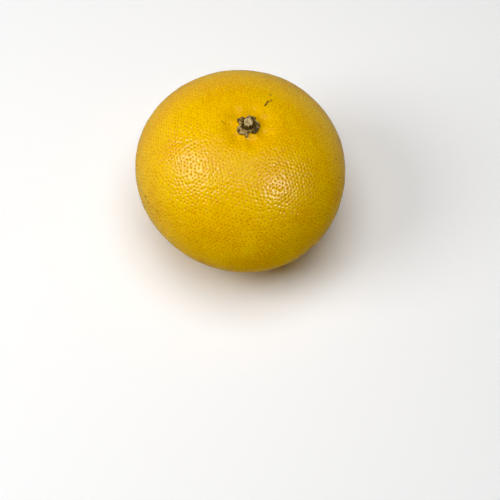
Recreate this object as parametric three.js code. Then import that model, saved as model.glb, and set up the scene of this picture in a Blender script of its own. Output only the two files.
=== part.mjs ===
// A whole grapefruit as it is picked: the fruit, resting on its blossom end, with the dry five-lobed calyx
// and the stub of the stem that stay on its top.
// Millimetres, +Z up. The origin is under the middle of the fruit's box, on the surface that it rests on.
import * as THREE from "three";

const { degToRad } = THREE.MathUtils;

// Fruit: a squat superellipsoid, a little out of round.
const EQUATOR_RADIUS = 52;
const HALF_HEIGHT = 45.5; // from its middle to either end, before the hollow and the flat spot
const FULLNESS = 2.1; // exponent of its outline: 2 is an ellipse, and more fills the shoulders out
const OVAL = { sides: 2, swell: 0.016, turn: degToRad(-22) };
const THREE_SIDED = { sides: 3, swell: 0.008, turn: degToRad(50) };
const LEAN = degToRad(4.9); // of its own axis, from blossom end to stem end, away from +Z
const LEAN_TOWARDS = degToRad(16); // turn from +X of the side that it leans to
const STEM_HOLLOW = { depth: 1.3, width: 11 };
const FLAT_SPOT_DEPTH = 0.6; // how far the blossom end is flattened where it rests

// Calyx: a woody ring round the stem, drawn out into five blunt lobes.
const STEM_HOLE_RADIUS = 2.75;
const NOTCH_REACH = 4.2; // from the stem's middle to the edge between two lobes
const LOBES = [
  // a taper under 1 widens the lobe's end, and one over 1 points it
  { turn: degToRad(-30), halfWidth: degToRad(42), reach: 5.6, taper: 0.6 },
  { turn: degToRad(70), halfWidth: degToRad(34), reach: 5.6, taper: 0.6 },
  { turn: degToRad(138), halfWidth: degToRad(30), reach: 5.8, taper: 0.6 },
  { turn: degToRad(222), halfWidth: degToRad(42), reach: 6.2, taper: 0.6 },
  { turn: degToRad(261), halfWidth: degToRad(20), reach: 7.1, taper: 1.4 },
];
const CALYX_SECTION = [
  // across from the stem hole's edge, 0, to the lobe's end, 1; height above the rind
  { across: 0, height: 0 },
  { across: 0.45, height: 0 },
  { across: 0.9, height: 0 },
  { across: 1, height: 0.5 },
  { across: 0.86, height: 1.1 },
  { across: 0.5, height: 1.15 },
  { across: 0.2, height: 1.75 },
  { across: 0, height: 1.5 },
];

// Stub of the stem, broken off flat.
const STUB_SECTION = [
  { radius: 0, height: 0 },
  { radius: 2.35, height: 0 },
  { radius: 2.2, height: 0.9 },
  { radius: 2.2, height: 2.7 },
  { radius: 1.85, height: 3.15 },
  { radius: 0, height: 3.3 },
];

const SEATING_GAP = 0.3; // clear of the rind, under the calyx and the stub
const FRUIT_SEGMENTS = 80;
const FRUIT_RINGS = 40;
const CALYX_SEGMENTS = 80;
const STUB_SEGMENTS = 28;

const LEAN_HINGE = new THREE.Vector3(-Math.sin(LEAN_TOWARDS), Math.cos(LEAN_TOWARDS), 0);
const FRUIT_TURN = new THREE.Quaternion().setFromAxisAngle(LEAN_HINGE, LEAN);

// Share by which the equator swells out at an angle round the fruit's axis.
function swelling(angle) {
  return [OVAL, THREE_SIDED].reduce(
    (sum, { sides, swell, turn }) => sum + swell * Math.cos(sides * (angle - turn)),
    0,
  );
}

// Distance from the fruit's middle to its skin, along a unit direction in the fruit's own frame.
function skinDistance(direction) {
  const across = Math.hypot(direction.x, direction.y);
  const squat =
    (across / EQUATOR_RADIUS) ** FULLNESS + (Math.abs(direction.z) / HALF_HEIGHT) ** FULLNESS;
  const outline = squat ** (-1 / FULLNESS);
  const outOfRound = 1 + across ** 2 * swelling(Math.atan2(direction.y, direction.x));
  const fromStem = (across * outline) / STEM_HOLLOW.width;
  const hollow = direction.z > 0 ? STEM_HOLLOW.depth * Math.exp(-(fromStem ** 2)) : 0;
  return outline * outOfRound - hollow;
}

// Point of the leaning fruit's skin in a unit direction from its middle.
function skinPoint(direction) {
  const own = direction.clone().applyQuaternion(FRUIT_TURN.clone().invert());
  return direction.clone().multiplyScalar(skinDistance(own));
}

// Moves each vertex of a geometry to where a function takes it.
function reshape(geometry, move) {
  const place = geometry.getAttribute("position");
  const point = new THREE.Vector3();
  for (let i = 0; i < place.count; i++) {
    point.copy(move(point.fromBufferAttribute(place, i)));
    place.setXYZ(i, point.x, point.y, point.z);
  }
  geometry.computeVertexNormals();
  return geometry;
}

// Turns a section of radius and height round +Z.
function turned(section, segments) {
  const profile = section.map(({ radius, height }) => new THREE.Vector2(radius, height));
  return new THREE.LatheGeometry(profile, segments).rotateX(Math.PI / 2);
}

// A unit sphere whose rings lie closer together towards its ends.
function unitSphere() {
  const section = Array.from({ length: FRUIT_RINGS + 1 }, (_, ring) => {
    const share = ring / FRUIT_RINGS;
    const angle = Math.PI * (share - 0.06 * Math.sin(2 * Math.PI * share));
    return { radius: Math.abs(Math.sin(angle)), height: -Math.cos(angle) };
  });
  section[0].radius = 0;
  section[FRUIT_RINGS].radius = 0;
  return turned(section, FRUIT_SEGMENTS);
}

function fruit() {
  const round = reshape(unitSphere(), (direction) => skinPoint(direction.normalize()));
  round.computeBoundingBox();
  const floor = round.boundingBox.min.z + FLAT_SPOT_DEPTH;
  const rested = reshape(round, (point) => point.setZ(Math.max(point.z, floor)));
  const rind = new THREE.MeshStandardMaterial({ color: 0xe8b010, roughness: 0.45, metalness: 0 });
  const mesh = new THREE.Mesh(rested, rind);
  mesh.name = "fruit";
  return mesh;
}

// Height of the rind above the bottom of the stem hollow, at x, y from the fruit's own axis.
function rindHeight(x, y) {
  const bottom = skinDistance(new THREE.Vector3(0, 0, 1));
  const direction = new THREE.Vector3(x, y, bottom).normalize();
  return skinDistance(direction) * direction.z - bottom;
}

// Distance from the stem's middle to the calyx's edge, at an angle round it.
function calyxReach(angle) {
  return LOBES.reduce((furthest, { turn, halfWidth, reach, taper }) => {
    const off = Math.abs(Math.atan2(Math.sin(angle - turn), Math.cos(angle - turn)));
    if (off >= halfWidth) return furthest;
    const fill = Math.cos((Math.PI / 2) * (off / halfWidth)) ** taper;
    return Math.max(furthest, NOTCH_REACH + (reach - NOTCH_REACH) * fill);
  }, NOTCH_REACH);
}

function calyx() {
  const closed = [...CALYX_SECTION, CALYX_SECTION[0]];
  const ring = turned(
    closed.map(({ across, height }) => ({ radius: STEM_HOLE_RADIUS + across, height })),
    CALYX_SEGMENTS,
  );
  const star = reshape(ring, (point) => {
    const angle = Math.atan2(point.y, point.x);
    const across = Math.hypot(point.x, point.y) - STEM_HOLE_RADIUS;
    const radius = STEM_HOLE_RADIUS + across * (calyxReach(angle) - STEM_HOLE_RADIUS);
    const x = radius * Math.cos(angle);
    const y = radius * Math.sin(angle);
    return point.set(x, y, point.z + rindHeight(x, y));
  });
  const bark = new THREE.MeshStandardMaterial({ color: 0x6f5c3c, roughness: 0.85, metalness: 0 });
  const mesh = new THREE.Mesh(star, bark);
  mesh.name = "calyx";
  return mesh;
}

function stemStub() {
  const wood = new THREE.MeshStandardMaterial({ color: 0xb59a68, roughness: 0.8, metalness: 0 });
  const mesh = new THREE.Mesh(turned(STUB_SECTION, STUB_SEGMENTS), wood);
  mesh.name = "stem_stub";
  return mesh;
}

// The calyx and the stub, seated in the stem hollow and square to the fruit's own axis.
function stemEnd() {
  const group = new THREE.Group();
  const axis = new THREE.Vector3(0, 0, 1).applyQuaternion(FRUIT_TURN);
  group.add(calyx(), stemStub());
  group.quaternion.copy(FRUIT_TURN);
  group.position.copy(skinPoint(axis)).addScaledVector(axis, SEATING_GAP);
  return group;
}

const grapefruit = new THREE.Group();
grapefruit.add(fruit(), stemEnd());
const box = new THREE.Box3().setFromObject(grapefruit, true);
const middle = box.getCenter(new THREE.Vector3());
grapefruit.position.set(-middle.x, -middle.y, -box.min.z);

export default grapefruit;
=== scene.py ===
"""A whole grapefruit, as picked, resting on its blossom end on a pale studio floor.

Three pieces stand for the three CAD solids: the rind with its oil glands, the woody calyx in the stem hollow,
and the stub of the stem. Everything is in metres, in the row frame, with +Z up.
"""
from __future__ import annotations

import logging
import math
from collections import Counter
from dataclasses import dataclass, field
from enum import Enum
from typing import Any, Callable

import bmesh
import bpy
from mathutils import Matrix, Quaternion, Vector, noise
from mathutils.bvhtree import BVHTree
from mathutils.geometry import delaunay_2d_cdt


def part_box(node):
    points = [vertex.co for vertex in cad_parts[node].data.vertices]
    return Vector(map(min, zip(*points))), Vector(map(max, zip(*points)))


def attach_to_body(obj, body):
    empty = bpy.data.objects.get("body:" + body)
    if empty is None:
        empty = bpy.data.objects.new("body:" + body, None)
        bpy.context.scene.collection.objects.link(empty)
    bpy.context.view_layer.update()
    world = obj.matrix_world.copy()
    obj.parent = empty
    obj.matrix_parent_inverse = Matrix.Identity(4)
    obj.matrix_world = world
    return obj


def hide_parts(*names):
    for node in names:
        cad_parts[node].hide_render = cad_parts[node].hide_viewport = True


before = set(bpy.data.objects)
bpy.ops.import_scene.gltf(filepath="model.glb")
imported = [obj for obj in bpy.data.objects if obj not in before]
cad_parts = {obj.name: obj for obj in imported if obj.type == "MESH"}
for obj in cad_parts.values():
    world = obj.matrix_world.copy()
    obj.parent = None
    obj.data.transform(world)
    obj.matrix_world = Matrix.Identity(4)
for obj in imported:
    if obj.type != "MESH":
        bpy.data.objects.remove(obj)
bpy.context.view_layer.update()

MM = 0.001
LOG = logging.getLogger("grapefruit")
Colour = tuple[float, float, float]
Profile = tuple[tuple[float, float], ...]
Place = Callable[[float, int], tuple[Vector, float]]


class Layer(Enum):
    """Names of the attributes that the meshes carry for their materials."""

    GLAND_OFFSET = "gland_offset"
    GLAND_SIZE = "gland_size"
    # Painted shade of the calyx and the stub: high in crevices, grooves and lower sides, low on raised and
    # lit tissue.
    CREVICE_SHADE = "crevice"


class Graph:
    """Writes nodes into one node tree, for a material, a world or a Geometry Nodes modifier."""

    def __init__(self, tree: bpy.types.NodeTree) -> None:
        """Keeps the tree that the nodes go into."""
        self.tree = tree

    def node(
        self,
        kind: str,
        settings: dict[str, Any] | None = None,
        inputs: dict[str | int, Any] | None = None,
        output: str | int = 0,
    ) -> Field:
        """Adds a node.

        Args:
            kind: The node's type, such as ShaderNodeTexNoise.
            settings: Its own settings, such as a Math node's operation. They are set before its sockets.
            inputs: Values or fields for its sockets, by name or by number.
            output: The output socket that is wanted.

        Returns:
            That output, for use in further expressions.
        """
        made = self.tree.nodes.new(kind)
        for name, value in (settings or {}).items():
            setattr(made, name, value)
        for key, value in (inputs or {}).items():
            self.feed(made.inputs[key], value)
        return Field(self, made.outputs[output])

    def feed(self, socket: bpy.types.NodeSocket, value: Any) -> None:
        """Links a field to a socket, or sets the socket's own value.

        Args:
            socket: The input socket.
            value: A field, a number, a vector or a colour. A number fills all three places of a vector.
        """
        if isinstance(value, Field):
            self.tree.links.new(value.socket, socket)
        elif socket.type == "VECTOR" and isinstance(value, (int, float)):
            socket.default_value = (value,) * 3
        elif socket.type == "RGBA":
            socket.default_value = (*value, 1.0)
        else:
            socket.default_value = value

    def noise(self, place: Field, size: float, detail: float = 2.0, roughness: float = 0.5) -> Field:
        """Smooth noise from 0 to 1.

        Args:
            place: The point that it is read at.
            size: How far apart its lumps are, in metres.
            detail: How many finer octaves are added.
            roughness: How strong those are.

        Returns:
            The noise as a number.
        """
        return self.node(
            "ShaderNodeTexNoise",
            inputs={"Vector": place, "Scale": 1 / size, "Detail": detail, "Roughness": roughness},
        )


class Field:
    """One output socket, used as a value in a Python expression."""

    def __init__(self, graph: Graph, socket: bpy.types.NodeSocket) -> None:
        """Keeps the socket and the graph that new nodes go into."""
        self.graph = graph
        self.socket = socket

    def output(self, key: str | int) -> Field:
        """Another output of the same node."""
        return Field(self.graph, self.socket.node.outputs[key])

    def maths(self, operation: str, *others: Any, output: int = 0) -> Field:
        """Adds a Math node, or a Vector Math node where any operand is a vector.

        Args:
            operation: The node's operation.
            others: The operands after this field.
            output: The output socket that is wanted.

        Returns:
            The result.
        """
        return self._operate(operation, (self, *others), output)

    def _operate(self, operation: str, operands: tuple, output: int = 0) -> Field:
        """Adds the node for an operation.

        Args:
            operation: The node's operation.
            operands: All its operands, at least one of which is a field.
            output: The output socket that is wanted.

        Returns:
            The result.
        """
        vector = any(
            o.socket.type == "VECTOR" if isinstance(o, Field) else not isinstance(o, (int, float))
            for o in operands
        )
        kind = "ShaderNodeVectorMath" if vector else "ShaderNodeMath"
        return self.graph.node(kind, {"operation": operation}, dict(enumerate(operands)), output)

    def __add__(self, other: Any) -> Field:
        """self + other."""
        return self.maths("ADD", other)

    __radd__ = __add__

    def __sub__(self, other: Any) -> Field:
        """self - other."""
        return self.maths("SUBTRACT", other)

    def __rsub__(self, other: Any) -> Field:
        """other - self."""
        return self._operate("SUBTRACT", (other, self))

    def __mul__(self, other: Any) -> Field:
        """self * other."""
        return self.maths("MULTIPLY", other)

    __rmul__ = __mul__

    def __truediv__(self, other: Any) -> Field:
        """self / other."""
        return self.maths("DIVIDE", other)

    def __pow__(self, other: Any) -> Field:
        """self ** other."""
        return self.maths("POWER", other)

    def __abs__(self) -> Field:
        """abs(self)."""
        return self.maths("ABSOLUTE")

    def length(self) -> Field:
        """A vector's length."""
        return self.maths("LENGTH", output=1)

    def dot(self, other: Any) -> Field:
        """Dot product with another vector."""
        return self.maths("DOT_PRODUCT", other, output=1)

    def bell(self) -> Field:
        """exp(-self squared): 1 at 0, and close to 0 past 2."""
        return (self * self * -1).maths("EXPONENT")

    def split(self) -> tuple[Field, Field, Field]:
        """The x, y and z of a vector."""
        x = self.graph.node("ShaderNodeSeparateXYZ", inputs={0: self})
        return x, x.output(1), x.output(2)

    def smooth(self, low: float | Field, high: float | Field) -> Field:
        """0 below low and 1 above high, with an eased slope between them. High may be the lower one."""
        return self.graph.node(
            "ShaderNodeMapRange",
            {"interpolation_type": "SMOOTHSTEP"},
            {"Value": self, "From Min": low, "From Max": high},
        )

    def mix(self, low: Any, high: Any) -> Field:
        """The colour low where this is 0, and the colour high where it is 1."""
        return self.graph.node("ShaderNodeMix", {"data_type": "RGBA"}, {0: self, 6: low, 7: high}, 2)


class Recipe:
    """A Geometry Nodes tree with named inputs, which makes a piece's mesh."""

    KINDS = {float: "NodeSocketFloat", int: "NodeSocketInt", Vector: "NodeSocketVector"}

    def __init__(self, name: str) -> None:
        """Starts an empty tree with a geometry input and output.

        Args:
            name: The tree's name.
        """
        self.tree = bpy.data.node_groups.new(name, "GeometryNodeTree")
        self.tree.interface.new_socket("Geometry", in_out="INPUT", socket_type="NodeSocketGeometry")
        self.tree.interface.new_socket("Geometry", in_out="OUTPUT", socket_type="NodeSocketGeometry")
        self.graph = Graph(self.tree)
        self.entry = self.tree.nodes.new("NodeGroupInput")
        self.values: dict[str, Any] = {}

    def start(self) -> Field:
        """The geometry that the tree is given."""
        return Field(self.graph, self.entry.outputs["Geometry"])

    def size(self, name: str, value: Any) -> Field:
        """Adds a named input.

        Args:
            name: The input's name.
            value: The number or vector that the modifier gives it.

        Returns:
            The input as a field.
        """
        socket = self.tree.interface.new_socket(name, in_out="INPUT", socket_type=self.KINDS[type(value)])
        self.values[socket.identifier] = value
        return Field(self.graph, self.entry.outputs[name])

    def finish(self, geometry: Field, material: bpy.types.Material | None) -> None:
        """Ends the tree in Realize Instances and Set Material.

        Args:
            geometry: What the tree has made.
            material: The material that it takes.
        """
        real = self.graph.node("GeometryNodeRealizeInstances", inputs={"Geometry": geometry})
        painted = self.graph.node(
            "GeometryNodeSetMaterial", inputs={"Geometry": real, "Material": material}
        )
        self.graph.feed(self.tree.nodes.new("NodeGroupOutput").inputs[0], painted)

    def grow(self, base: bpy.types.Mesh, name: str) -> bpy.types.Object:
        """Runs the tree on a mesh, and leaves a plain object.

        Args:
            base: The mesh that the tree starts from.
            name: The new object's name.

        Returns:
            The object, linked to the scene, with the result as its mesh and no modifier.
        """
        piece = bpy.data.objects.new(name, base)
        modifier = piece.modifiers.new(name, "NODES")
        modifier.node_group = self.tree
        for identifier, value in self.values.items():
            modifier[identifier] = value
        bpy.context.scene.collection.objects.link(piece)
        depsgraph = bpy.context.evaluated_depsgraph_get()
        grown = bpy.data.meshes.new_from_object(
            piece.evaluated_get(depsgraph), preserve_all_data_layers=True, depsgraph=depsgraph
        )
        piece.modifiers.clear()
        piece.data = grown
        grown.name = name
        bpy.data.meshes.remove(base)
        return piece


@dataclass(frozen=True)
class Swell:
    """One way in which the fruit is out of round: its sides, how far they swell, and where the first is."""

    sides: int
    size: float
    turn: float


@dataclass(frozen=True)
class FruitForm:
    """The fruit's outline as the CAD solid has it, and the place of its stem."""

    equator_radius: float = 52 * MM
    half_height: float = 45.5 * MM
    fullness: float = 2.1
    swells: tuple[Swell, ...] = (
        Swell(2, 0.016, math.radians(-22)),
        Swell(3, 0.008, math.radians(50)),
    )
    lean: float = math.radians(4.9)
    lean_towards: float = math.radians(16)
    hollow_depth: float = 1.3 * MM
    hollow_width: float = 11 * MM
    stub_height: float = 3.3 * MM
    seating_gap: float = 0.3 * MM

    @property
    def hinge(self) -> Vector:
        """The level line that the fruit's axis leans about."""
        return Vector((-math.sin(self.lean_towards), math.cos(self.lean_towards), 0))

    @property
    def turn(self) -> Quaternion:
        """Turns the fruit's own frame, with +Z along its axis, into the row frame."""
        return Quaternion(self.hinge, self.lean)

    @property
    def axis(self) -> Vector:
        """From the blossom end to the stem end, in the row frame."""
        return self.turn @ Vector((0, 0, 1))

    @property
    def stem_rise(self) -> float:
        """Height of the stub's foot over the fruit's middle, along the axis."""
        return self.half_height - self.hollow_depth + self.seating_gap

    @property
    def middle(self) -> Vector:
        """The fruit's middle in the row frame, found down the axis from the stem stub's CAD solid."""
        low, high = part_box("stem_stub")
        return (low + high) / 2 - self.axis * (self.stem_rise + self.stub_height / 2)

    @property
    def stem_foot(self) -> Vector:
        """The middle of the stub's foot, in the row frame."""
        return self.middle + self.axis * self.stem_rise

    def distance(self, own: Field) -> Field:
        """Distance from the middle to the skin.

        Args:
            own: A unit direction in the fruit's own frame.

        Returns:
            The distance in metres, as a field.
        """
        x, y, z = own.split()
        across = (x * x + y * y).maths("SQRT")
        squat = (across / self.equator_radius) ** self.fullness + (
            abs(z) / self.half_height
        ) ** self.fullness
        outline = squat ** (-1 / self.fullness)
        angle = y.maths("ARCTAN2", x)
        swelling = sum(s.size * ((angle - s.turn) * s.sides).maths("COSINE") for s in self.swells)
        hollow = (across * outline / self.hollow_width).bell() * z.maths("GREATER_THAN", 0)
        return outline * (1 + across * across * swelling) - hollow * self.hollow_depth


@dataclass
class GlandNet:
    """A closed net of triangles on the unit sphere, whose first points are the oil glands.

    The glands are scattered on a ball of the fruit's mean radius. There are so many candidates to a square as
    wide as the spacing, and those that lie too near another are dropped.
    """

    radius: float = 49.5 * MM
    subdivisions: int = 6
    spacing: float = 1.69 * MM
    candidates: float = 30
    pit_radius: float = 0.48 * MM
    widest_pit: float = 0.36
    seed: int = 4

    def scatter(self) -> list[Vector]:
        """Scatters the glands with Geometry Nodes.

        Returns:
            Unit directions of the glands, no two nearer than the spacing, and the stem's own direction last.
        """
        recipe = Recipe("gland_scatter")
        graph = recipe.graph
        ball = graph.node(
            "GeometryNodeMeshIcoSphere",
            inputs={
                "Radius": recipe.size("Radius", self.radius),
                "Subdivisions": recipe.size("Subdivisions", self.subdivisions),
            },
        )
        points = graph.node(
            "GeometryNodeDistributePointsOnFaces",
            {"distribute_method": "POISSON"},
            {
                "Mesh": ball,
                "Distance Min": recipe.size("Spacing", self.spacing),
                "Density Max": recipe.size("Density", self.candidates / self.spacing**2),
                "Seed": recipe.size("Seed", self.seed),
            },
        )
        recipe.finish(graph.node("GeometryNodePointsToVertices", inputs={"Points": points}), None)
        cloud = recipe.grow(bpy.data.meshes.new("glands"), "glands")
        directions = [v.co.normalized() for v in cloud.data.vertices]
        bpy.data.objects.remove(cloud)
        return directions + [Vector((0, 0, 1))]

    def triangles(self, directions: list[Vector]) -> list[tuple[int, int, int]]:
        """Joins the glands into Delaunay triangles.

        The sphere is unrolled on to a plane from the stem end, which keeps circles round, so the plane's
        Delaunay triangles are the sphere's. The stem's own direction closes the net.

        Args:
            directions: The glands, with the stem's own direction last.

        Returns:
            Triangles of point numbers, with their faces pointing out.
        """
        pole = len(directions) - 1
        flat = [Vector((d.x, d.y)) / (1 - d.z) for d in directions[:pole]]
        whole_hull, nearest = 0, 1e-9
        faces = [tuple(f) for f in delaunay_2d_cdt(flat, [], [], whole_hull, nearest)[2]]
        uses = Counter(frozenset((f[i], f[i - 1])) for f in faces for i in range(3))
        rim = [tuple(edge) for edge, count in uses.items() if count == 1]
        closed = faces + [(a, b, pole) for a, b in rim]
        return [self._facing_out(directions, f) for f in closed]

    @staticmethod
    def _facing_out(directions: list[Vector], face: tuple[int, int, int]) -> tuple[int, int, int]:
        """The same triangle, wound so that it faces away from the middle."""
        a, b, c = (directions[i] for i in face)
        return face if (b - a).cross(c - a).dot(a + b + c) > 0 else (face[0], face[2], face[1])

    def build(self) -> bpy.types.Mesh:
        """Splits each triangle in twelve, so that each gland has a ring of points round it.

        Returns:
            The net. Its points and its faces carry the numbers of the glands that they belong to.
        """
        glands = self.scatter()
        points = list(glands)
        owner = list(range(len(glands)))
        made: dict[Any, int] = {}

        def point(key: Any, place: Vector, gland: int) -> int:
            """Adds the point with that key, unless it is there already.

            Args:
                key: What sets the point apart from all others.
                place: Its direction, of any length.
                gland: The number of the gland that it belongs to.

            Returns:
                The point's number.
            """
            if key not in made:
                made[key] = len(points)
                points.append(place.normalized())
                owner.append(gland)
            return made[key]

        def ring(a: int, b: int) -> int:
            """The point of gland a's ring on the way to gland b."""
            share = min(self.pit_radius / self.radius / (glands[a] - glands[b]).length, self.widest_pit)
            return point((a, b), glands[a].lerp(glands[b], share), a)

        def halfway(a: int, b: int) -> int:
            """The point midway between two glands."""
            return point(frozenset((a, b)), glands[a] + glands[b], min(a, b))

        faces, cells = [], []
        for triangle in self.triangles(glands):
            heart = point(triangle, sum((glands[i] for i in triangle), Vector()), triangle[0])
            for k in range(3):
                before, here, after = triangle[k - 1], triangle[k], triangle[(k + 1) % 3]
                faces += [
                    (here, ring(here, after), ring(here, before)),
                    (ring(here, before), ring(here, after), heart),
                    (ring(here, after), halfway(here, after), heart),
                    (halfway(here, before), ring(here, before), heart),
                ]
                cells += [here] * 4
        mesh = bpy.data.meshes.new("gland_net")
        mesh.from_pydata(points, [], faces)
        mesh.attributes.new("gland", "INT", "POINT").data.foreach_set("value", owner)
        mesh.attributes.new("cell", "INT", "FACE").data.foreach_set("value", cells)
        return mesh


def blank_material(name: str) -> tuple[bpy.types.Material, Graph]:
    """Makes a material with no nodes yet.

    Args:
        name: Its name.

    Returns:
        The material, and the graph that writes its nodes.
    """
    made = bpy.data.materials.new(name)
    made.use_nodes = True
    made.node_tree.nodes.clear()
    return made, Graph(made.node_tree)


@dataclass(frozen=True)
class Mark:
    """One small scar on the rind.

    It lies at a turn round the stem and a polar angle down from it, in degrees. It is a streak of a length
    and a width in millimetres, headed so many degrees from the downward line. A strength of 1 hides the
    rind's own colour.
    """

    turn: float
    down: float
    length: float
    width: float
    heading: float = 0.0
    strength: float = 0.8


@dataclass(frozen=True)
class Patches:
    """Soft patches of noise, whose edges lie between two values of it."""

    size: float
    detail: float
    start: float
    end: float
    strength: float = 1.0

    def mask(self, graph: Graph, place: Field) -> Field:
        """The strength inside the patches and 0 between them."""
        return graph.noise(place, self.size, self.detail).smooth(self.start, self.end) * self.strength


@dataclass(frozen=True)
class Growth:
    """A share that is least near the stem, and grows to 1 between two distances from it."""

    least: float
    start: float
    end: float

    def share(self, from_stem: Field) -> Field:
        """The share at a distance from the stem."""
        return self.least + (1 - self.least) * from_stem.smooth(self.start, self.end)


@dataclass(frozen=True)
class RindFinish:
    """Waxy yellow rind, with a darker oil gland in each pit. Near the stem it turns deeper orange and darker,
    partly its own tone and partly painted shade of the stem hollow; between the glands it is paler in
    patches, partly its own tone and partly painted light on the crests.
    """

    golden: Colour = (0.85, 0.495, 0.001)
    amber: Colour = (0.81, 0.42, 0.001)
    pale: Colour = (0.93, 0.62, 0.002)
    gland: Colour = (0.70, 0.275, 0.001)
    stem_orange_and_shade: Colour = (0.75, 0.38, 0.001)
    scar: Colour = (0.15, 0.065, 0.020)
    marks: tuple[Mark, ...] = (
        Mark(60, 28.3, 1.4, 0.36, 80, 1.0),
        Mark(55.5, 20.7, 3.2, 0.46, 4, 1.0),
        Mark(53.5, 24.6, 1.8, 0.34, 0, 0.9),
        Mark(172, 15.0, 2.6, 0.32, 160, 0.5),
        Mark(-158, 83.6, 7.5, 0.42, 94, 0.9),
        Mark(-147, 81.6, 6.0, 0.55, 92, 0.4),
        Mark(-37.4, 74.1, 0.4, 0.45, 0, 0.6),
        Mark(-116.7, 80.7, 0.6, 0.45, 30, 0.6),
        Mark(-114.4, 69.5, 0.3, 0.40, 0, 0.5),
        Mark(-19.2, 35.4, 0.3, 0.40, 0, 0.5),
        Mark(140, 64.0, 3.0, 0.30, 70, 0.5),
        Mark(25, 88.0, 0.5, 0.50, 20, 0.6),
        Mark(95, 101.0, 4.5, 0.30, 120, 0.5),
    )
    blossom_scar: float = 2.2 * MM
    scar_waver: float = 1.6
    scar_waver_size: float = 0.9 * MM
    blossom_waver: float = 0.4
    blossom_edge: tuple[float, float] = (1.0, 0.6)
    mark_edge: tuple[float, float] = (1.15, 0.65)
    scar_gaps: Patches = Patches(1.6 * MM, 2.0, 0.30, 0.5)

    mottle: Patches = Patches(16 * MM, 3.0, 0.38, 0.66)
    blotches: Patches = Patches(3.2 * MM, 2.0, 0.45, 0.75, 0.45)
    lit_ridges: Patches = Patches(0.9 * MM, 1.0, 0.50, 0.72, 0.75)
    stem_side_reach: tuple[float, float] = (5 * MM, 16 * MM)
    stem_side_wander: float = 5 * MM
    stem_side_strength: float = 0.75

    gland_radius: float = 0.54 * MM
    gland_waver: float = 0.22 * MM
    gland_waver_size: float = 0.5 * MM
    spot_core: float = 0.3
    spot_rim: float = 1.15
    spot_strength: float = 0.90
    spot_growth: Growth = Growth(0.35, 8 * MM, 48 * MM)
    pit_depth: float = 0.18 * MM
    pit_spread: float = 0.7
    pit_growth: Growth = Growth(0.3, 8 * MM, 26 * MM)

    grain_height: float = 0.020 * MM
    fine_grain: float = 0.55 * MM
    coarse_grain: float = 1.3 * MM
    scar_depth: float = 0.06 * MM
    roughness: float = 0.15
    gloss: float = 0.5
    glow: float = 0.08
    glow_reach: float = 1.6 * MM
    glow_colour: Colour = (1.0, 0.45, 0.06)

    def material(self, form: FruitForm) -> bpy.types.Material:
        """Writes the material.

        Args:
            form: The fruit's outline, for where its ends are.

        Returns:
            The material.
        """
        made, graph = blank_material("rind")
        place = graph.node("ShaderNodeTexCoord", output="Object")
        offset = graph.node(
            "ShaderNodeAttribute", {"attribute_name": Layer.GLAND_OFFSET.value}, output="Vector"
        )
        size = graph.node("ShaderNodeAttribute", {"attribute_name": Layer.GLAND_SIZE.value}, output="Fac")

        waver = graph.noise(place, self.gland_waver_size, 1.0) - 0.5
        from_gland = offset.length() + waver * self.gland_waver
        spot = (from_gland / (size * self.gland_radius)).smooth(self.spot_rim, self.spot_core)

        mottle = self.mottle.mask(graph, place)
        ground = mottle.mix(self.golden, self.amber)
        ground = self.blotches.mask(graph, place).mix(ground, self.amber)
        from_stem = (place - form.stem_foot).length()
        near, far = self.stem_side_reach
        near_stem = (from_stem + (mottle - 0.5) * self.stem_side_wander).smooth(far, near)
        # Painted shade: near the stem the rind is mixed towards a darker orange, partly its own deeper tone
        # and partly the shade of the stem hollow.
        ground = (near_stem * self.stem_side_strength).mix(ground, self.stem_orange_and_shade)
        # Painted light: pale patches between the glands, partly the rind's own paler tone and partly light
        # standing in for the lit crests between pits.
        ridge = self.lit_ridges.mask(graph, place) * (1 - spot)
        ground = ridge.mix(ground, self.pale)
        spotted = self.spot_growth.share(from_stem)
        colour = (spot * spotted * self.spot_strength).mix(ground, self.gland)
        scars = self._scars(graph, place, form)
        colour = scars.mix(colour, self.scar)

        across = from_gland / (size * self.gland_radius * -self.pit_spread)
        pit = across.maths("EXPONENT") * self.pit_growth.share(from_stem)
        grain = graph.noise(place, self.fine_grain, 2.0) + graph.noise(place, self.coarse_grain, 1.0)
        height = grain * self.grain_height - pit * self.pit_depth - scars * self.scar_depth
        bump = graph.node("ShaderNodeBump", inputs={"Strength": 1.0, "Distance": 1.0, "Height": height})

        surface = graph.node(
            "ShaderNodeBsdfPrincipled",
            inputs={
                "Base Color": colour,
                "Roughness": self.roughness,
                "Specular IOR Level": self.gloss,
                "Subsurface Weight": self.glow,
                "Subsurface Radius": self.glow_colour,
                "Subsurface Scale": self.glow_reach,
                "Normal": bump,
            },
        )
        graph.feed(graph.tree.nodes.new("ShaderNodeOutputMaterial").inputs["Surface"], surface)
        return made

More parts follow.
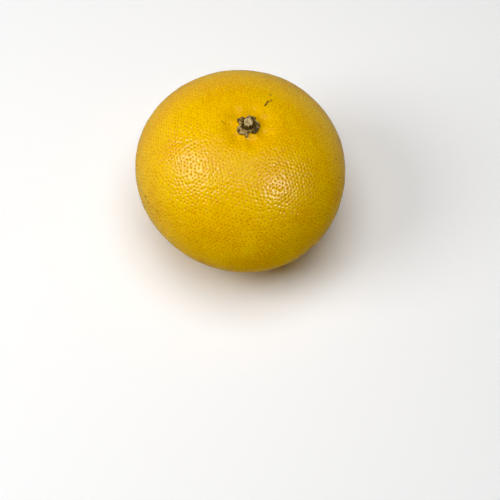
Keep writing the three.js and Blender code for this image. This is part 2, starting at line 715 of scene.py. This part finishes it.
    def _scars(self, graph: Graph, place: Field, form: FruitForm) -> Field:
        """How much of the scar colour shows, from all the marks and the blossom end's own scar.

        Args:
            graph: The material's graph.
            place: The point on the rind, in the row frame.
            form: The fruit's outline, for its middle and its axis.

        Returns:
            A number from 0 to 1.
        """
        off_middle = place - form.middle
        waver = (graph.noise(place, self.scar_waver_size, 2.0) - 0.5) * self.scar_waver
        shown = self.scar_gaps.mask(graph, place)
        off_blossom = (off_middle + form.axis * form.half_height).length() / self.blossom_scar
        total = (off_blossom + waver * self.blossom_waver).smooth(*self.blossom_edge)
        for mark in self.marks:
            turn, down, heading = (math.radians(a) for a in (mark.turn, mark.down, mark.heading))
            level = Vector((math.cos(turn), math.sin(turn), 0))
            out = level * math.sin(down) + Vector((0, 0, math.cos(down)))
            downhill = level * math.cos(down) - Vector((0, 0, math.sin(down)))
            along = Quaternion(out, heading) @ downhill
            out, along = form.turn @ out, form.turn @ along
            off_end = (abs(off_middle.dot(along)) - mark.length / 2 * MM).maths("MAXIMUM", 0.0)
            off_line = off_middle.dot(out.cross(along))
            off_mark = (off_end * off_end + off_line * off_line).maths("SQRT") / (mark.width * MM)
            this_side = off_middle.dot(out).maths("GREATER_THAN", 0.0)
            near = (off_mark + waver).smooth(*self.mark_edge) * this_side
            total = total.maths("MAXIMUM", near * shown * mark.strength)
        return total


@dataclass(frozen=True)
class WoodFinish:
    """Dry woody tissue, darkened in its crevices as painted shade, and tan where it is rubbed."""

    name: str
    dark: Colour
    middle: Colour
    light: Colour
    patch_size: float = 1.8 * MM
    fibre_size: float = 0.35 * MM
    fibre_height: float = 0.20 * MM
    patch_wear: float = 0.6
    fibre_wear: float = 0.9
    crevice_dimming: float = 0.9
    fibre_shade: float = 0.6
    rubbed: tuple[float, float] = (0.35, 0.85)
    creviced: tuple[float, float] = (0.55, 0.95)
    roughness: float = 0.62
    crevice_roughness: float = 0.25
    gloss: float = 0.4

    def material(self) -> bpy.types.Material:
        """Writes the material.

        Returns:
            The material.
        """
        made, graph = blank_material(self.name)
        place = graph.node("ShaderNodeTexCoord", output="Object")
        crevice = graph.node("ShaderNodeAttribute", {"attribute_name": Layer.CREVICE_SHADE.value}, output="Fac")
        patches = graph.noise(place, self.patch_size, 2.0)
        fibres = graph.noise(place, self.fibre_size, 3.0, 0.65)
        # Rubbed wear from the patches and fibres, held back where the painted crevice shade is.
        lightening = patches * self.patch_wear + fibres * self.fibre_wear - crevice * self.crevice_dimming
        colour = lightening.smooth(*self.rubbed).mix(self.middle, self.light)
        # Painted shade: the dark colour goes where the mesh's crevice shade is high.
        shaded = (crevice + fibres * self.fibre_shade).smooth(*self.creviced)
        colour = shaded.mix(colour, self.dark)
        height = fibres * self.fibre_height
        bump = graph.node("ShaderNodeBump", inputs={"Strength": 1.0, "Distance": 1.0, "Height": height})
        surface = graph.node(
            "ShaderNodeBsdfPrincipled",
            inputs={
                "Base Color": colour,
                "Roughness": self.roughness + crevice * self.crevice_roughness,
                "Specular IOR Level": self.gloss,
                "Normal": bump,
            },
        )
        graph.feed(graph.tree.nodes.new("ShaderNodeOutputMaterial").inputs["Surface"], surface)
        return made


@dataclass
class Rind:
    """The fruit's skin: its uneven outline, folds round the stem hollow, and a pit at each gland."""

    form: FruitForm
    net: GlandNet = field(default_factory=GlandNet)
    finish: RindFinish = field(default_factory=RindFinish)
    gland_sizes: tuple[float, float] = (0.62, 1.25)
    pit_depth: float = 0.30 * MM
    pit_width: float = 0.61 * MM
    pit_growth: Growth = Growth(0.3, 4 * MM, 15 * MM)
    unevenness: float = 0.7 * MM
    unevenness_size: float = 26 * MM
    ripple: float = 0.24 * MM
    ripple_size: float = 5 * MM
    folds: int = 7
    fold_depth: float = 0.60 * MM
    fold_wander: float = 3.2
    fold_wander_size: float = 9 * MM
    fold_start: tuple[float, float] = (4.5 * MM, 7.5 * MM)
    fold_end: tuple[float, float] = (9 * MM, 17 * MM)
    moat_depth: float = 1.0 * MM
    moat_radius: float = 8 * MM
    moat_width: float = 3.5 * MM
    beyond_stem: float = 1.0
    seed: int = 11

    def build(self) -> bpy.types.Object:
        """Grows the rind from the gland net with Geometry Nodes.

        Returns:
            The rind, in place, with its material.
        """
        recipe = Recipe("rind")
        graph = recipe.graph
        net = recipe.start()
        own = graph.node("GeometryNodeInputPosition")
        skin = self._place(graph, net, own * self.form.distance(own))
        position = graph.node("GeometryNodeInputPosition")
        relief = self._relief(recipe, skin, position)

        off_gland = position - self._sampled(graph, skin, "cell")
        kept = self._keep(graph, skin, Layer.GLAND_OFFSET, "FLOAT_VECTOR", "CORNER", off_gland)
        kept = self._keep(graph, kept, Layer.GLAND_SIZE, "FLOAT", "FACE", self._random(recipe, "cell"))
        normal = graph.node("GeometryNodeInputNormal")
        carved = self._place(graph, kept, position + normal * relief)
        turned = graph.node(
            "ShaderNodeVectorRotate",
            {"rotation_type": "AXIS_ANGLE"},
            {
                "Vector": graph.node("GeometryNodeInputPosition"),
                "Axis": recipe.size("Hinge", self.form.hinge),
                "Angle": recipe.size("Lean", self.form.lean),
            },
        )
        x, y, z = (turned + recipe.size("Middle", self.form.middle)).split()
        rested = graph.node("ShaderNodeCombineXYZ", inputs={0: x, 1: y, 2: z.maths("MAXIMUM", 0.0)})
        placed = self._place(graph, carved, rested)
        shaded = graph.node("GeometryNodeSetShadeSmooth", inputs={"Geometry": placed, "Shade Smooth": True})
        recipe.finish(shaded, self.finish.material(self.form))
        piece = recipe.grow(self.net.build(), "rind")
        for spare in ("gland", "cell"):
            piece.data.attributes.remove(piece.data.attributes[spare])
        return piece

    def _relief(self, recipe: Recipe, skin: Field, position: Field) -> Field:
        """How far the skin stands off its smooth outline: the pits, the unevenness, the folds and the moat.

        Args:
            recipe: The rind's recipe.
            skin: The smooth skin.
            position: The point on it, in the fruit's own frame.

        Returns:
            The height in metres.
        """
        graph = recipe.graph
        size = self._random(recipe, "gland")
        from_gland = (position - self._sampled(graph, skin, "gland")).length()
        x, y, z = position.split()
        across = (x * x + y * y).maths("SQRT")
        from_stem = across + (1 - z.maths("GREATER_THAN", 0)) * self.beyond_stem
        pit_depth = recipe.size("Pit Depth", self.pit_depth)
        pit_width = recipe.size("Pit Width", self.pit_width)
        growth = self.pit_growth.share(from_stem)
        pits = (from_gland / (pit_width * size)).bell() * size * growth * pit_depth * -1

        slow = graph.noise(position, self.unevenness_size, 1.0) - 0.5
        quick = graph.noise(position, self.ripple_size, 1.0) - 0.5
        relief = pits + slow * recipe.size("Unevenness", self.unevenness)
        relief = relief + quick * recipe.size("Ripple", self.ripple)

        wander = (graph.noise(position, self.fold_wander_size, 1.0) - 0.5) * self.fold_wander
        fold = (y.maths("ARCTAN2", x) * self.folds + wander).maths("COSINE") * 0.5 - 0.5
        full, gone = self.fold_end
        round_hollow = from_stem.smooth(*self.fold_start) * from_stem.smooth(gone, full)
        folds = fold * recipe.size("Fold Depth", self.fold_depth) * round_hollow

        moat = ((from_stem - self.moat_radius) / self.moat_width).bell()
        return relief + folds + moat * recipe.size("Moat Depth", self.moat_depth) * -1

    @staticmethod
    def _place(graph: Graph, geometry: Field, position: Field) -> Field:
        """Moves each point to a position."""
        return graph.node("GeometryNodeSetPosition", inputs={"Geometry": geometry, "Position": position})

    @staticmethod
    def _number(graph: Graph, name: str) -> Field:
        """The whole number that a point or a face carries under a name."""
        return graph.node("GeometryNodeInputNamedAttribute", {"data_type": "INT"}, {"Name": name})

    def _sampled(self, graph: Graph, skin: Field, name: str) -> Field:
        """The place on the skin of the gland whose number is carried under a name."""
        return graph.node(
            "GeometryNodeSampleIndex",
            {"data_type": "FLOAT_VECTOR", "domain": "POINT"},
            {
                "Geometry": skin,
                "Value": graph.node("GeometryNodeInputPosition"),
                "Index": self._number(graph, name),
            },
        )

    def _random(self, recipe: Recipe, name: str) -> Field:
        """A share of the usual size for each gland, the same wherever its number is read."""
        least, most, number, seed = 2, 3, 7, 8
        smallest, largest = self.gland_sizes
        return recipe.graph.node(
            "FunctionNodeRandomValue",
            {"data_type": "FLOAT"},
            {least: smallest, most: largest, number: self._number(recipe.graph, name), seed: self.seed},
            output=1,
        )

    @staticmethod
    def _keep(graph: Graph, geometry: Field, layer: Layer, kind: str, domain: str, value: Field) -> Field:
        """Stores a field on the geometry for the material."""
        return graph.node(
            "GeometryNodeStoreNamedAttribute",
            {"data_type": kind, "domain": domain},
            {"Geometry": geometry, "Name": layer.value, "Value": value},
        )


@dataclass(frozen=True)
class Lobe:
    """One lobe of the calyx: where it points, half its width as an angle, how far it reaches and its taper.

    A taper under 1 widens the lobe's end, and one over 1 points it.
    """

    turn: float
    half_width: float
    reach: float
    taper: float = 0.6


@dataclass(frozen=True)
class Notch:
    """One notch in the stub's broken edge: where it is, as an angle, and how strong it is."""

    turn: float
    strength: float


@dataclass(frozen=True)
class Shares:
    """How much of the ridges, the lumps and the fibres of dry tissue goes into one thing."""

    ridge: float
    lump: float
    fibre: float

    def of(self, relief: tuple[float, float, float]) -> float:
        """The sum of the ridges, lumps and fibres in these shares."""
        return sum(a * b for a, b in zip((self.ridge, self.lump, self.fibre), relief))


@dataclass(frozen=True)
class Tissue:
    """The uneven surface of dry tissue: ridges, lumps, and fibres that run out from the stem's axis.

    The shares say how much of each lifts the surface, spreads its edge and makes it lighter, as painted light
    on the raised tissue.
    """

    lump_size: float
    fibres: float
    fibre_length: float
    lift: Shares
    spread: Shares
    light: Shares
    ridge_size: float = 2.6 * MM
    ridge_start: Colour = (5, 1, 0)
    lump_start: Colour = (0, 0, 0)

    def relief(self, here: Vector, angle: float, radius: float) -> tuple[float, float, float]:
        """The ridges, the lumps and the fibres at a point.

        Args:
            here: The point, in the stem's own frame.
            angle: Its angle round the stem.
            radius: Its distance from the stem's axis.

        Returns:
            A number for each, about 0 on average.
        """
        smoothness, spacing, octaves, offset, gain, mean = 1.0, 2.2, 3, 1.0, 1.6, 1.2
        ridged = here / self.ridge_size + Vector(self.ridge_start)
        ridge = noise.ridged_multi_fractal(ridged, smoothness, spacing, octaves, offset, gain) - mean
        lump = noise.noise(here / self.lump_size + Vector(self.lump_start))
        around = self.fibres * math.cos(angle), self.fibres * math.sin(angle)
        fibre = noise.noise(Vector((*around, radius / self.fibre_length)))
        return ridge, lump, fibre


@dataclass
class StemEnd:
    """The calyx and the stem stub, seated in the stem hollow.

    The sections are pairs of a share of the way out and a height in millimetres over the stem's foot.
    """

    form: FruitForm
    rind: bpy.types.Object
    hole_radius: float = 2.35 * MM
    notch_reach: float = 4.3 * MM
    lobes: tuple[Lobe, ...] = (
        Lobe(math.radians(-35), math.radians(38), 5.6 * MM),
        Lobe(math.radians(0), math.radians(44), 5.9 * MM, 1.1),
        Lobe(math.radians(67), math.radians(36), 6.1 * MM, 0.9),
        Lobe(math.radians(139), math.radians(30), 6.3 * MM, 0.8),
        Lobe(math.radians(222), math.radians(42), 6.2 * MM),
        Lobe(math.radians(261), math.radians(16), 6.7 * MM, 1.5),
    )
    calyx_section: Profile = (
        (0, -0.4), (0, 0.3), (0.02, 0.62), (0.16, 0.78), (0.34, 1.30), (0.5, 1.45), (0.68, 1.28),
        (0.86, 1.10), (0.97, 0.85), (1.0, 0.5), (0.93, 0.15), (0.5, -0.25), (0.2, -0.4),
    )
    calyx_tissue: Tissue = Tissue(
        lump_size=1.3 * MM,
        fibres=5,
        fibre_length=2.2 * MM,
        lift=Shares(0.34, 0.5, 0.3),
        spread=Shares(0.12, 0.4, 0.25),
        light=Shares(0.45, 0.5, 0.4),
        lump_start=(0, 7, 2),
    )
    # Painted shade in the calyx's groove and lower sides; painted light on the side towards lit_side and
    # painted shade on the side away from it.
    groove_end: float = 0.26
    groove_shade: float = 1.1
    calyx_shade: float = 0.36
    calyx_side_shade: float = 0.8
    lit_side: float = math.radians(225)
    lit_side_strength: float = 0.10
    stub_radius: float = 2.25 * MM
    stub_section: Profile = (
        (0.0, 3.1), (0.2, 3.15), (0.45, 3.2), (0.72, 3.3), (0.9, 3.25), (1.0, 2.95), (0.96, 2.4), (0.9, 1.6),
        (0.94, 0.6), (1.05, -0.5),
    )
    stub_tissue: Tissue = Tissue(
        lump_size=0.8 * MM,
        fibres=2.4,
        fibre_length=1.4 * MM,
        lift=Shares(0, 0.26, 0.40),
        spread=Shares(0, 0.10, 0.06),
        light=Shares(0, 0.5, 0.6),
    )
    notches: tuple[Notch, ...] = (
        Notch(2.25, 0.9), Notch(0.85, 0.8), Notch(3.7, 0.35), Notch(4.9, 0.45), Notch(5.9, 0.4)
    )
    notch_width: float = 0.2
    notch_bite: float = 0.16
    notch_sink: float = 0.3
    # Painted shade on the stub: darker in its notches, down its walls and at the middle of its top.
    notch_shade: float = 0.6
    stub_shade: float = 0.12
    stub_side_shade: float = 0.9
    stub_top_shade: float = 0.4
    turns: int = 240
    stretch_points: int = 5
    bark: WoodFinish = WoodFinish("calyx", (0.072, 0.036, 0.012), (0.21, 0.135, 0.030), (0.54, 0.38, 0.145))
    wood: WoodFinish = WoodFinish("stem", (0.12, 0.07, 0.02), (0.40, 0.28, 0.11), (0.66, 0.51, 0.26))

    def __post_init__(self) -> None:
        """Finds the stem's foot, and the rind's surface to seat the calyx on."""
        self.placing = Matrix.Translation(self.form.stem_foot) @ self.form.turn.to_matrix().to_4x4()
        bare = self.rind.data
        self.surface = BVHTree.FromPolygons(
            [v.co for v in bare.vertices], [tuple(p.vertices) for p in bare.polygons]
        )

    def ground(self, x: float, y: float) -> float:
        """Height of the rind over the stem's foot.

        Args:
            x: How far off the stem's axis, along its own X.
            y: How far off it, along its own Y.

        Returns:
            The height along the stem's axis.
        """
        above = self.placing @ Vector((x, y, 10 * MM))
        hit = self.surface.ray_cast(above, -self.form.axis)[0]
        return (self.placing.inverted() @ hit).z

    def reach(self, angle: float) -> float:
        """How far the calyx reaches in one direction.

        Args:
            angle: The angle round the stem.

        Returns:
            The distance from the stem's middle to the calyx's edge.
        """
        furthest = self.notch_reach
        for lobe in self.lobes:
            off = abs(math.remainder(angle - lobe.turn, math.tau))
            if off < lobe.half_width:
                fill = math.cos(math.pi / 2 * off / lobe.half_width) ** lobe.taper
                furthest = max(furthest, self.notch_reach + (lobe.reach - self.notch_reach) * fill)
        return furthest

    def calyx(self) -> bpy.types.Object:
        """Builds the calyx: a ring of woody tissue whose section follows the lobes and the rind below.

        Returns:
            The calyx.
        """
        section = smooth_loop(self.calyx_section, self.stretch_points)

        def place(angle: float, step: int) -> tuple[Vector, float]:
            """Places a point of the ring.

            Args:
                angle: The angle round the stem.
                step: The number of the section's point.

            Returns:
                The point, and its painted shade: dark in the groove round the stub and on the lower sides,
                    light on raised tissue and towards one side.
            """
            share, height = section[step]
            radius = self.hole_radius + share * (self.reach(angle) - self.hole_radius)
            x, y = radius * math.cos(angle), radius * math.sin(angle)
            relief = self.calyx_tissue.relief(Vector((x, y, height * MM)), angle, radius)
            upper = clamped((height - 0.15) / 0.6)
            lift = self.calyx_tissue.lift.of(relief) * MM * upper * min(share * 3, 1)
            spread = self.calyx_tissue.spread.of(relief) * MM * share * share
            here = Vector((x, y, height * MM + lift + self.ground(x, y)))
            here += Vector((x, y, 0)).normalized() * spread
            # Painted shade in the groove and on the lower sides, and painted light and shade on the two sides
            # of the calyx.
            groove = max(1 - share / self.groove_end, 0) * self.groove_shade
            lightening = self.lit_side_strength * math.cos(angle - self.lit_side)
            painted_shade = self.calyx_shade + groove - lightening - self.calyx_tissue.light.of(relief)
            return here, clamped(painted_shade + (1 - upper) * self.calyx_side_shade)

        points, painted_shade = self._sweep(place, len(section))
        return self._piece("calyx_star", points, self._band(len(section), True), painted_shade, self.bark)

    def stub(self) -> bpy.types.Object:
        """Builds the stub: a short round post whose broken top is notched from its edge inwards.

        Returns:
            The stub.
        """
        section = smooth_line(self.stub_section, self.stretch_points)[1:]

        def place(angle: float, step: int) -> tuple[Vector, float]:
            """Places a point of the post.

            Args:
                angle: The angle round the stem.
                step: The number of the section's point.

            Returns:
                The point, and its painted shade: dark in the notches and down the walls, light on raised
                    tissue.
            """
            share, height = section[step]
            edge = clamped((height - 1.0) / 2.0) * min(share * 1.3, 1) ** 2
            cut = self._cut(angle) * edge
            radius = share * self.stub_radius * (1 - self.notch_bite * cut)
            here = Vector((radius * math.cos(angle), radius * math.sin(angle), height * MM))
            relief = self.stub_tissue.relief(here, angle, radius)
            upper = clamped((height - 0.5) / 2.5)
            sink = self.notch_sink * cut if share < 0.99 else 0.0
            lift = (self.stub_tissue.lift.of(relief) * upper - sink) * MM
            out = Vector((here.x, here.y, 0)) * self.stub_tissue.spread.of(relief)
            # Painted shade in the notches and down the walls, and painted light on raised tissue.
            painted_shade = self.stub_shade + self.notch_shade * cut - self.stub_tissue.light.of(relief)
            return here + out + Vector((0, 0, lift)), clamped(painted_shade + (1 - upper) * self.stub_side_shade)

        steps = len(section)
        points, painted_shade = self._sweep(place, steps)
        faces = self._band(steps, False)
        first = [turn * steps for turn in range(self.turns)]
        last = [turn * steps + steps - 1 for turn in range(self.turns)]
        top, foot = len(points), len(points) + 1
        middle = sum((points[i] for i in first), Vector()) / self.turns
        points += [middle, Vector((0, 0, section[-1][1] * MM))]
        painted_shade += [self.stub_top_shade, 1.0]
        faces += [(first[i], first[(i + 1) % self.turns], top) for i in range(self.turns)]
        faces += [(last[(i + 1) % self.turns], last[i], foot) for i in range(self.turns)]
        return self._piece("stem_stub_wood", points, faces, painted_shade, self.wood)

    def _cut(self, angle: float) -> float:
        """How strongly the stub's edge is notched at an angle round the stem."""
        offs = (math.remainder(angle - n.turn, math.tau) / self.notch_width for n in self.notches)
        return sum(n.strength * math.exp(-(off**2)) for n, off in zip(self.notches, offs))

    def _sweep(self, place: Place, steps: int) -> tuple[list[Vector], list[float]]:
        """Carries a section round the stem.

        Args:
            place: Gives each point of the section at each angle, and its painted shade.
            steps: How many points the section has.

        Returns:
            The points, section after section, and their painted shade.
        """
        made = [
            place(math.tau * turn / self.turns, step) for turn in range(self.turns) for step in range(steps)
        ]
        return [point for point, _ in made], [depth for _, depth in made]

    def _band(self, steps: int, closed: bool) -> list[tuple[int, ...]]:
        """Joins each section to the next.

        Args:
            steps: How many points each section has.
            closed: Whether a section's last point is joined to its first.

        Returns:
            The faces, as point numbers.
        """
        faces = []
        for turn in range(self.turns):
            here, after = turn * steps, (turn + 1) % self.turns * steps
            for step in range(steps if closed else steps - 1):
                beside = (step + 1) % steps
                faces.append((here + step, after + step, after + beside, here + beside))
        return faces

    def _piece(
        self, name: str, points: list[Vector], faces: list, painted_shade: list[float], finish: WoodFinish
    ) -> bpy.types.Object:
        """Makes a piece of the stem end, in place.

        Args:
            name: The piece's name.
            points: Its points, in the stem's own frame.
            faces: Its faces, as point numbers.
            painted_shade: The shade painted at each point, darkest in crevices and grooves.
            finish: What it is made of.

        Returns:
            The object.
        """
        mesh = bpy.data.meshes.new(name)
        mesh.from_pydata(points, [], faces)
        mesh.transform(self.placing)
        mesh.attributes.new(Layer.CREVICE_SHADE.value, "FLOAT", "POINT").data.foreach_set("value", painted_shade)
        mesh.materials.append(finish.material())
        mesh.shade_smooth()
        outward_faces(mesh)
        piece = bpy.data.objects.new(name, mesh)
        bpy.context.scene.collection.objects.link(piece)
        return piece


def outward_faces(mesh: bpy.types.Mesh) -> None:
    """Turns a closed mesh's faces outwards.

    Args:
        mesh: The mesh.
    """
    edit = bmesh.new()
    edit.from_mesh(mesh)
    bmesh.ops.recalc_face_normals(edit, faces=edit.faces)
    edit.to_mesh(mesh)
    edit.free()


def clamped(value: float) -> float:
    """The nearest number from 0 to 1."""
    return min(max(value, 0), 1)


def smooth_line(points: Profile, steps: int) -> list[tuple[float, float]]:
    """A smooth curve through points, from the first to the last.

    Args:
        points: The points that it goes through.
        steps: How many points each stretch gives.

    Returns:
        The curve's points.
    """
    ends = [points[0], *points, points[-1]]
    curve = [
        spline_point(ends[i : i + 4], step / steps) for i in range(len(points) - 1) for step in range(steps)
    ]
    return curve + [points[-1]]


def smooth_loop(points: Profile, steps: int) -> list[tuple[float, float]]:
    """A smooth closed curve through points, with so many points on each stretch."""
    ring = [points[-1], *points, *points[:2]]
    return [spline_point(ring[i : i + 4], step / steps) for i in range(len(points)) for step in range(steps)]


def spline_point(four: list[tuple[float, float]], share: float) -> tuple[float, float]:
    """A point of a Catmull-Rom spline.

    Args:
        four: Four points that it goes through.
        share: How far along the way from the second to the third.

    Returns:
        The point.
    """
    a, b, c, d = (Vector(p) for p in four)
    point = b + 0.5 * share * (
        c - a + share * (2 * a - 5 * b + 4 * c - d + share * (3 * (b - c) + d - a))
    )
    return point.x, point.y


class Reach(Enum):
    """What a lamp lights: the shading alone, the gloss alone, or both."""

    SHADE = (True, False)
    GLOSS = (False, True)
    BOTH = (True, True)


@dataclass(frozen=True)
class Lamp:
    """One softbox: the direction it shines from, how far off it is, its width and its power."""

    name: str
    direction: Vector
    distance: float
    width: float
    power: float
    reach: Reach = Reach.BOTH


@dataclass
class Studio:
    """Floor, soft light, surround and camera.

    The floor glows from the radius where the lamps' light starts to fade to the one where it has gone. The
    surround lights the fruit low down on the far side, and the camera sees the plain backdrop in its place.
    """

    aim: Vector
    floor_colour: Colour = (0.96, 0.96, 0.96)
    floor_roughness: float = 0.85
    floor_gloss: float = 0.2
    floor_radius: float = 6.0
    floor_sides: int = 96
    floor_gap: float = 0.1 * MM
    lit_radius: float = 0.4
    unlit_radius: float = 2.2
    no_glow: Colour = (0.0, 0.0, 0.0)
    far_glow: Colour = (0.85, 0.85, 0.85)
    backdrop: Colour = (0.88, 0.88, 0.88)
    surround_dim: Colour = (0.02, 0.02, 0.02)
    surround_pale: Colour = (0.26, 0.26, 0.26)
    pale_height: float = 0.45
    pale_slant: float = 0.35
    pale_edge: tuple[float, float] = (-0.35, 0.5)
    lamps: tuple[Lamp, ...] = (
        Lamp("key_softbox", Vector((-0.696, -0.162, 0.699)), 0.9, 0.50, 3.6),
        Lamp("side_glint", Vector((0.587, -0.415, 0.695)), 1.0, 0.40, 3.8, Reach.GLOSS),
        Lamp("top_softbox", Vector((0.0, -0.02, 1.0)), 1.2, 1.0, 11.5, Reach.SHADE),
    )
    elevation: float = math.radians(62)
    distance: float = 0.8
    lens: float = 114.6
    aim_shift: tuple[float, float] = (4.1 * MM, -39.8 * MM)
    black_level: Colour = (0.0, 0.0, 0.008)

    def build(self) -> None:
        """Makes the floor, the lamps, the surround and the camera."""
        self._floor()
        self._surround()
        for lamp in self.lamps:
            self._lamp(lamp)
        self._camera()
        grade = bpy.context.scene.view_settings
        grade.view_transform = "Standard"
        grade.use_curve_mapping = True
        grade.curve_mapping.black_level = self.black_level
        grade.curve_mapping.update()

    def _floor(self) -> None:
        """A wide pale disc that the fruit rests on, which glows where the lamps no longer reach it."""
        mesh = bpy.data.meshes.new("floor")
        turns = [math.tau * i / self.floor_sides for i in range(self.floor_sides)]
        rim = [Vector((math.cos(a), math.sin(a), 0)) * self.floor_radius for a in turns]
        mesh.from_pydata(rim, [], [tuple(range(self.floor_sides))])
        mesh.transform(Matrix.Translation((0, 0, -self.floor_gap)))
        paint, graph = blank_material("floor")
        place = graph.node("ShaderNodeTexCoord", output="Object")
        glow = place.length().smooth(self.lit_radius, self.unlit_radius)
        surface = graph.node(
            "ShaderNodeBsdfPrincipled",
            inputs={
                "Base Color": self.floor_colour,
                "Roughness": self.floor_roughness,
                "Specular IOR Level": self.floor_gloss,
                "Emission Color": glow.mix(self.no_glow, self.far_glow),
                "Emission Strength": 1.0,
            },
        )
        graph.feed(graph.tree.nodes.new("ShaderNodeOutputMaterial").inputs["Surface"], surface)
        mesh.materials.append(paint)
        floor = bpy.data.objects.new("floor", mesh)
        floor.visible_glossy = False
        bpy.context.scene.collection.objects.link(floor)

    def _surround(self) -> None:
        """A surround that is pale low down on the far side and dim elsewhere, and the plain backdrop."""
        world = bpy.data.worlds.new("surround")
        bpy.context.scene.world = world
        world.use_nodes = True
        tree = world.node_tree
        tree.nodes.clear()
        graph = Graph(tree)
        x, y, z = graph.node("ShaderNodeTexCoord", output="Generated").split()
        low = z.smooth(self.pale_height, 0.0) * (y - x * self.pale_slant).smooth(*self.pale_edge)
        surround = low.mix(self.surround_dim, self.surround_pale)
        colour = graph.node("ShaderNodeLightPath", output="Is Camera Ray").mix(surround, self.backdrop)
        light = graph.node("ShaderNodeBackground", inputs={"Color": colour, "Strength": 1.0})
        graph.feed(tree.nodes.new("ShaderNodeOutputWorld").inputs["Surface"], light)

    def _lamp(self, lamp: Lamp) -> None:
        """Hangs one softbox, turned to the fruit.

        Args:
            lamp: The softbox.
        """
        light = bpy.data.lights.new(lamp.name, "AREA")
        light.shape = "DISK"
        light.size = lamp.width
        light.energy = lamp.power
        hung = bpy.data.objects.new(lamp.name, light)
        hung.location = self.aim + lamp.direction.normalized() * lamp.distance
        hung.rotation_euler = lamp.direction.to_track_quat("Z", "Y").to_euler()
        hung.visible_diffuse, hung.visible_glossy = lamp.reach.value
        bpy.context.scene.collection.objects.link(hung)

    def _camera(self) -> None:
        """Sets up the camera, looking down on the fruit."""
        back = Vector((0, -math.cos(self.elevation), math.sin(self.elevation)))
        upward = Vector((0, math.sin(self.elevation), math.cos(self.elevation)))
        right, up = self.aim_shift
        target = self.aim + Vector((right, 0, 0)) + upward * up
        lens = bpy.data.cameras.new("camera")
        lens.lens = self.lens
        camera = bpy.data.objects.new("camera", lens)
        camera.location = self.aim + back * self.distance
        camera.rotation_euler = (camera.location - target).to_track_quat("Z", "Y").to_euler()
        bpy.context.scene.collection.objects.link(camera)
        bpy.context.scene.camera = camera


def attach(piece: bpy.types.Object, node: str) -> None:
    """Lets a piece stand for a CAD node, and ride on the fruit's body.

    Args:
        piece: The finished piece.
        node: The CAD node that it replaces.
    """
    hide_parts(node)
    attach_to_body(piece, "root")
    LOG.info("%s: %d faces, stands for %s", piece.name, len(piece.data.polygons), node)


def main() -> None:
    """Builds the fruit and the studio round it."""
    logging.basicConfig(level=logging.INFO, format="%(name)s: %(message)s")
    form = FruitForm()
    rind = Rind(form).build()
    stem_end = StemEnd(form, rind)
    calyx, stub = stem_end.calyx(), stem_end.stub()
    attach(rind, "fruit")
    attach(calyx, "calyx")
    attach(stub, "stem_stub")
    Studio(form.middle).build()


if __name__ == "__main__":
    main()
